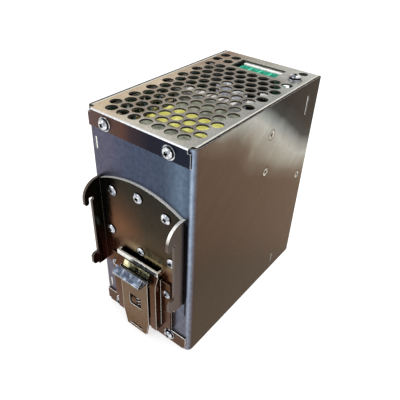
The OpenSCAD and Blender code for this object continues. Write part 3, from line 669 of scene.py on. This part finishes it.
def screw_master(rise, washer_radius, washer_thickness):
    """A screw of unit head radius, on its washer if it has one, with its shank, pointing up."""
    bottom, crown = washer_thickness, washer_thickness + rise
    outline = [(0.0, crown), (0.35, bottom + rise * 0.985), (0.62, bottom + rise * 0.90),
               (0.84, bottom + rise * 0.70), (0.96, bottom + rise * 0.42), (1.0, bottom + 0.12),
               (0.97, bottom)]
    if washer_radius:
        outline += [(1.02, bottom), (washer_radius - 0.06, bottom), (washer_radius, bottom - 0.06),
                    (washer_radius, 0.0)]
    outline += [(0.5, 0.0), (0.5, -1.2), (0.0, -1.2)]
    bm = bmesh.new()
    turned(bm, outline, 32, 0.0005)
    bmesh.ops.recalc_face_normals(bm, faces=bm.faces)
    mesh = bpy.data.meshes.new("screw master")
    bm.to_mesh(mesh)
    bm.free()
    blank = bpy.data.objects.new("screw master", mesh)
    cutter = cross_cutter()
    cutter.data.transform(Matrix.Translation((0, 0, crown + 0.12)))
    for thing in (blank, cutter):
        bpy.context.collection.objects.link(thing)
    recess = blank.modifiers.new("recess", "BOOLEAN")
    recess.object = cutter
    recess.operation = "DIFFERENCE"
    recess.solver = "EXACT"
    recess.use_self = True
    bpy.context.view_layer.update()
    cut = bpy.data.meshes.new_from_object(blank.evaluated_get(bpy.context.evaluated_depsgraph_get()))
    for thing in (blank, cutter):
        bpy.data.objects.remove(thing)
    for face in cut.polygons:
        radius, height = math.hypot(face.center.x, face.center.y), face.center.z
        deep = height < bottom + rise * 0.80 and radius < 0.6 and abs(face.normal.z) < 0.95
        inside = radius < 0.62 and (abs(face.normal.z) < 0.5 or height < bottom + rise * 0.5)
        flank = 0.955 < radius < 1.035 and height < bottom + rise * 0.45
        face.material_index = 1 if deep or inside or flank else 0
    return cut


def fasteners(name, master, radius, places, replaced):
    """Screws of one kind in one piece; places are (point, direction out, turn)."""
    bm = bmesh.new()
    for point, outward, turn in places:
        before = set(bm.verts)
        bm.from_mesh(master)
        fresh = [vert for vert in bm.verts if vert not in before]
        facing = Vector(outward).to_track_quat("Z", "Y").to_matrix()
        bmesh.ops.scale(bm, verts=fresh, vec=(radius, radius, radius))
        bmesh.ops.rotate(bm, verts=fresh, cent=(0, 0, 0),
                         matrix=facing @ Matrix.Rotation(math.radians(turn), 3, "Z"))
        bmesh.ops.translate(bm, verts=fresh, vec=point)
    return piece_of(bm, name, "root", (screw_chrome, screw_shade), replaced, 40)


def facing_back(surface, places):
    """Places on a rear surface from (across, seat off it, height, turn), in mm and degrees."""
    return [((across * MM, surface + seat * MM, height * MM), (0, 1, 0), turn)
            for across, seat, height, turn in places]


rear_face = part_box("top_cover")[1][1]
pan_head = screw_master(0.62, 1.26, 0.22)
low_head = screw_master(0.42, 0, 0.0)
rivet_head = screw_master(0.3, 0, 0.0)
fasteners("lid_screws", pan_head, 2.8 * MM, facing_back(rear_face, (
    (-18.7, 0, 120.2, 20), (18.7, 0, 120.2, 65), (-18.7, 0, 6.4, 35), (18.7, 0, 6.4, 10))),
    ("cover_screws",))
earth_place = (-23.2 * MM, -47.05 * MM, case_high.z)
fasteners("earth_screw", pan_head, 3.1 * MM, [(earth_place, (0, 0, 1), 30)], ("ground_screw",))
fasteners("plate_screws", low_head, 2.9 * MM, facing_back(plate_outer, (
    (-17.2, 0, 85.6, 15), (17.2, 0, 85.6, 50), (0, 0, 88.9, 30), (-20.4, 0, 60.2, 70),
    (20.4, 0, 60.2, 5))), ("clip_screws",))
fasteners("plate_rivets", rivet_head, 2.6 * MM, facing_back(plate_outer, (
    (0, 0, 55.8, 20), (-18, 1.2, 38.4, 60), (18, 1.2, 38.4, 40))), ("clip_rivets",))

# ---------------------------------------------------------------- studs and spacers
# Small press-in studs show as rings of painted shade on the side walls; threaded
# spacers of nickel-plated steel hold the main board off the right wall.


def dress(node, material):
    """Puts one material on a CAD node."""
    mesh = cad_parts[node].data
    mesh.materials.clear()
    mesh.materials.append(material)


stud_cast = flecked(700, ((0.36, tone(120, 114, 104)), (0.64, tone(220, 214, 202))), 3)
dress("chassis_studs", worn_finish("stud steel", stud_cast, (1500, 2), 0.3))
dress("board_standoffs", worn_finish("spacer nickel", wire_cast, (1200, 2), 0.25))

# ---------------------------------------------------------------- boards
# The main board stands on the right wall over a film; small boards carry the
# terminals and the controller. Green solder mask over woven glass.


def moulded(name, dark, light, roughness, scale=400, metallic=0.0, relief=0.1, stretch=(1, 1, 1)):
    """A moulded, coated or sintered surface: two tones of fine grain with matching gloss and relief."""
    material, nodes, links, shader = finish(name, light, roughness, metallic)
    fine = grain(nodes, links, scale, 4, stretch)
    broad = grain(nodes, links, scale / 9, 3)
    mottle = combine(nodes, links, combine(nodes, links, fine, 0.8), combine(nodes, links, broad, 0.2), "ADD")
    links.new(band(nodes, links, mottle, ((0.36, dark), (0.62, light))), shader.inputs["Base Color"])
    gloss = within(nodes, links, fine, 0.3, 0.7, roughness - 0.07, roughness + 0.08)
    links.new(gloss, shader.inputs["Roughness"])
    roughen(nodes, links, shader, fine, relief, 0.05 * MM)
    return material


solder_mask = moulded("solder mask", tone(6, 24, 18), tone(12, 44, 32), 0.32, 500)
for board in ("main_board", "input_board", "control_board"):
    dress(board, solder_mask)


def lit_mask(nodes, links):
    """Dark green solder mask, lighter where the light comes in by the terminal."""
    lit = within(nodes, links, along(nodes, links, (0, -1, 0)), 0.046, 0.054)
    weave = band(nodes, links, grain(nodes, links, 500), ((0.36, (0.6, 0.6, 0.6, 1)), (0.62, (1, 1, 1, 1))))
    mask = mixed(nodes, links, lit, tone(5, 14, 12), tone(24, 96, 82))
    return mixed(nodes, links, 0.8, mask, weave, "MULTIPLY")


dress("output_board", worn_finish("lit solder mask", lit_mask, (1100, 3), 0.36, 0.0))
dress("insulation_sheet", moulded("insulation film", tone(196, 196, 188), tone(228, 228, 222), 0.3, 200))

# ---------------------------------------------------------------- small parts
# Axial resistors with waisted bodies and tinned leads stand in two rows along the
# upper edge of the main board, where they show through the vents of the lid.
main_low, main_high = (Vector(corner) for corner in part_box("main_board"))
pitch, row_pitch = 3.7 * MM, 4.6 * MM
first_place = Vector((main_low.x - 1.9 * MM, 37 * MM, main_high.z - 3.4 * MM))
lead_length = 1.9 * MM
half = [(0.28, 2.9), (0.28, 1.95), (0.62, 1.9), (1.0, 1.6), (1.0, 1.1), (0.82, 0.8)]
resistor = [(r * MM, z * MM) for r, z in half + [(r, -z) for r, z in reversed(half)]]
bm = bmesh.new()
for number in range(22):
    row, column = number % 2, number // 2
    fresh = turned(bm, resistor, 14, 0.0005 * MM)
    bmesh.ops.holes_fill(bm, edges=[e for e in bm.edges if e.is_boundary], sides=16)
    for face in {face for vert in fresh for face in vert.link_faces}:
        on_lead = abs(face.calc_center_median().z) > lead_length
        face.material_index = 0 if on_lead else 1 + number * 7 % 3
    leaning = math.pi / 2 if number % 3 == 0 else 0
    bmesh.ops.rotate(bm, verts=fresh, cent=(0, 0, 0), matrix=Matrix.Rotation(leaning, 3, "X"))
    bmesh.ops.translate(bm, verts=fresh, vec=first_place - Vector((0, pitch * column, row_pitch * row)))
bmesh.ops.recalc_face_normals(bm, faces=bm.faces)
piece_of(bm, "resistors", "root", (
    worn_finish("tinned lead", bright_cast, (1500, 2), 0.25, 0.4),
    moulded("resistor beige", tone(170, 152, 118), tone(214, 198, 164), 0.35, 700),
    moulded("resistor blue", tone(58, 84, 104), tone(92, 124, 146), 0.35, 700),
    moulded("part black", tone(16, 16, 18), tone(38, 38, 42), 0.35, 700)))

# ---------------------------------------------------------------- transformer and chokes
# Ferrite cores ground smooth, wound with enamelled copper and wrapped in yellow
# polyester tape; the output choke is a powder-iron ring painted yellow.
ferrite = moulded("ferrite", tone(98, 104, 90), tone(172, 176, 156), 0.42, 350)
dress("transformer_core", ferrite)
dress("line_choke_core", ferrite)
dress("transformer_tape",
      moulded("polyester tape", tone(226, 220, 92), tone(255, 251, 150), 0.26, 240, stretch=(1, 0.2, 1)))
dress("transformer_winding",
      moulded("taped winding", tone(184, 172, 60), tone(226, 214, 98), 0.3, 240, stretch=(0.2, 1, 1)))
enamel = moulded("enamelled copper", tone(118, 60, 26), tone(190, 104, 52), 0.24, 600, 0.8)
dress("boost_choke_winding", enamel)
dress("line_choke_winding", enamel)
dress("boost_choke_core", moulded("painted ring", tone(30, 70, 54), tone(48, 100, 78), 0.34))
dress("output_choke", moulded("yellow ring", tone(176, 156, 50), tone(216, 200, 88), 0.34))

# ---------------------------------------------------------------- capacitors
# Aluminium cans in shrunk sleeves, upright near the outputs and lying over the
# main board near the input; film capacitors are potted in plastic boxes.
dress("bulk_capacitors", moulded("black sleeve", tone(16, 16, 20), tone(44, 44, 50), 0.26, 260))
pale_sleeve = moulded("pale sleeve", tone(206, 218, 236), tone(246, 250, 255), 0.28, 260)
dark_sleeve = moulded("dark sleeve", tone(20, 24, 34), tone(44, 50, 64), 0.28, 260)
can_top = moulded("can top", tone(200, 204, 210), tone(250, 250, 250), 0.32, 700, 0.2)
output_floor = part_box("output_board")[1][2]
board_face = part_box("main_board")[0][0]
upright_cans = ((7.5, -26.35), (-5.5, -21.35))  # across and depth in mm
lying_cans = (-48.85, -37.85)  # depth in mm
lying_height = 48 * MM


def sleeved_can(bm, radius, length, stand, sleeve):
    """A can standing on Z = 0 in its sleeve, with a rolled neck and a vent scored in its top."""
    tall, top = length / radius, length - 0.09 * radius
    outline = [(0, 0), (0.92, 0), (1, 0.05), (1, 0.12), (0.94, 0.2), (1, 0.28), (1, tall - 0.14),
               (0.93, tall - 0.02), (0.80, tall), (0.79, tall - 0.06), (0, tall - 0.06)]
    fresh = turned(bm, [(r * radius, z * radius) for r, z in outline], 36, 0.0005 * MM)
    for face in {face for vert in fresh for face in vert.link_faces}:
        middle = face.calc_center_median()
        on_top = middle.z > top and math.hypot(middle.x, middle.y) < 0.81 * radius
        face.material_index = 2 if on_top else sleeve
    score_size = Vector((1.1, 0.06, 0.03)) * radius
    for angle in (0, math.pi / 2):
        score = slab(bm, score_size, (0, 0, length - 0.05 * radius), angle)
        for face in {face for vert in score for face in vert.link_faces}:
            face.material_index = 1
        fresh += score
    bmesh.ops.transform(bm, matrix=stand, verts=fresh)


bm = bmesh.new()
for across, depth in upright_cans:
    sleeved_can(bm, 4.2 * MM, 17.4 * MM, Matrix.Translation((across * MM, depth * MM, output_floor)), 0)
for depth in lying_cans:
    sleeved_can(bm, 5.0 * MM, 24 * MM, Matrix.Translation((board_face, depth * MM, lying_height))
                @ Matrix.Rotation(-math.pi / 2, 4, "Y"), 1)
bmesh.ops.recalc_face_normals(bm, faces=bm.faces)
piece_of(bm, "sleeved_cans", "root", (pale_sleeve, dark_sleeve, can_top), ("output_capacitors",), 40)
dress("line_capacitor", moulded("cream box", tone(196, 184, 150), tone(222, 212, 182), 0.4))
film_low, film_high = (Vector(corner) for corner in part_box("film_capacitor"))
film_size = Vector((film_high.x - film_low.x, film_high.y - film_low.y, 13.5 * MM))
bm = bmesh.new()
slab(bm, film_size, film_low + film_size / 2)
eased(bm, bm.edges[:], 1.6 * MM, 5)
red_epoxy = moulded("red epoxy", tone(120, 30, 28), tone(178, 66, 58), 0.26, 700, relief=0.3)
piece_of(bm, "dipped_capacitor", "root", (red_epoxy,), ("film_capacitor",))

# ---------------------------------------------------------------- power parts
# Aluminium heat sinks are sheared from plate and one is anodised black. The
# transistors, diodes and bridge are moulded epoxy clamped to them.
sink_cast = flecked(300, ((0.3, tone(170, 172, 174)), (0.7, tone(238, 238, 238))), 4, (1, 1, 0.1))
dress("primary_heatsink", worn_finish("bare aluminium", sink_cast, (1100, 3, (1, 1, 0.2)), 0.35, 0.3))
sink_high = Vector(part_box("primary_heatsink")[1])
tooth_size, tooth_pitch = Vector((2.4, 7.5, 1.2)) * MM, 4.0 * MM
first_tooth = Vector((sink_high.x - 2.2 * MM, -12.6 * MM, sink_high.z - 0.7 * MM))
clamp_size, clamp_turn = Vector((12.5, 3.4, 0.8)) * MM, math.radians(24)
bm = bmesh.new()
for number in range(9):
    slab(bm, tooth_size, first_tooth - Vector((tooth_pitch * number, 0, 0)))
for depth in (-19.85, -32.85):
    slab(bm, clamp_size, Vector((-18.6, depth, 118.6)) * MM, clamp_turn)
eased(bm, bm.edges[:], 0.2 * MM, 2)
piece_of(bm, "sink_teeth", "root", (worn_finish("bright aluminium", tab_cast, (1100, 3), 0.35, 0.0),))
dress("secondary_heatsink", moulded("black anodising", tone(20, 20, 22), tone(52, 52, 56), 0.38, 500, 0.4))
epoxy = moulded("moulded epoxy", tone(18, 18, 20), tone(44, 44, 46), 0.5, 900, relief=0.3)
for block in ("bridge_rectifier", "power_transistors", "output_diodes"):
    dress(block, epoxy)
dress("inrush_thermistor", moulded("dark coating", tone(22, 40, 34), tone(46, 70, 60), 0.4, 800, relief=0.4))
dress("fuse", moulded("fuse ceramic", tone(206, 200, 186), tone(236, 232, 222), 0.4))
dress("relay", moulded("relay case", tone(24, 66, 128), tone(48, 96, 168), 0.34))

# ---------------------------------------------------------------- terminals
# Green nylon terminal blocks with a funnel over each wire hole; steel screws
# pull up a cage clamp against a brass bar.
nylon = moulded("terminal nylon", tone(58, 190, 158), tone(84, 214, 182), 0.34, 900, relief=0.05)


def shaded_nylon(nodes, links):
    """Green nylon, near black on the back that stands in the shade of the lid."""
    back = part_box("output_terminal")[1][1]
    green = band(nodes, links, grain(nodes, links, 500),
                 ((0.3, tone(58, 190, 158)), (0.7, tone(84, 214, 182))))
    depth = along(nodes, links, (0, 1, 0))
    on_back = within(nodes, links, depth, back - 0.6 * MM, back - 0.2 * MM)
    return mixed(nodes, links, on_back, green, tone(6, 22, 20))


dress("output_terminal", worn_finish("shaded nylon", shaded_nylon, (1100, 3), 0.36, 0.0))
dress("input_terminal", nylon)
bm = bmesh.new()
slab(bm, Vector((25.0, 3.2, 1.0)) * MM, Vector((0, -54.0, 123.2)) * MM)
eased(bm, bm.edges[:], 0.25 * MM, 3)
marker_white = moulded("marker white", tone(236, 236, 232), tone(252, 252, 250), 0.4)
piece_of(bm, "marker_strip", "root", (marker_white,))
dress("terminal_contacts", moulded("contact brass", tone(160, 124, 60), tone(214, 178, 96), 0.26, 500, 1.0))
cage = moulded("cage steel", tone(120, 122, 124), tone(186, 188, 190), 0.3, 700, 1.0)
driven = moulded("terminal screw steel", tone(130, 132, 136), tone(210, 212, 214), 0.24, 700, 1.0)
for kind, count in (("output", 4), ("input", 3)):
    for number in range(1, count + 1):
        dress("%s_clamp_%d" % (kind, number), cage)
        dress("%s_screw_%d" % (kind, number), driven)

# ---------------------------------------------------------------- trimmer and lamp
# A blue trimmer with a white rotor behind its hole in the front, and beside it
# a green lamp in a clear-tinted plastic dome.
dress("trim_pot", moulded("trimmer blue", tone(30, 74, 150), tone(54, 104, 186), 0.36))
dress("trim_rotor", moulded("rotor white", tone(206, 206, 202), tone(238, 238, 234), 0.4))
dress("status_led", moulded("lamp green", tone(40, 150, 60), tone(110, 214, 110), 0.12, 300))
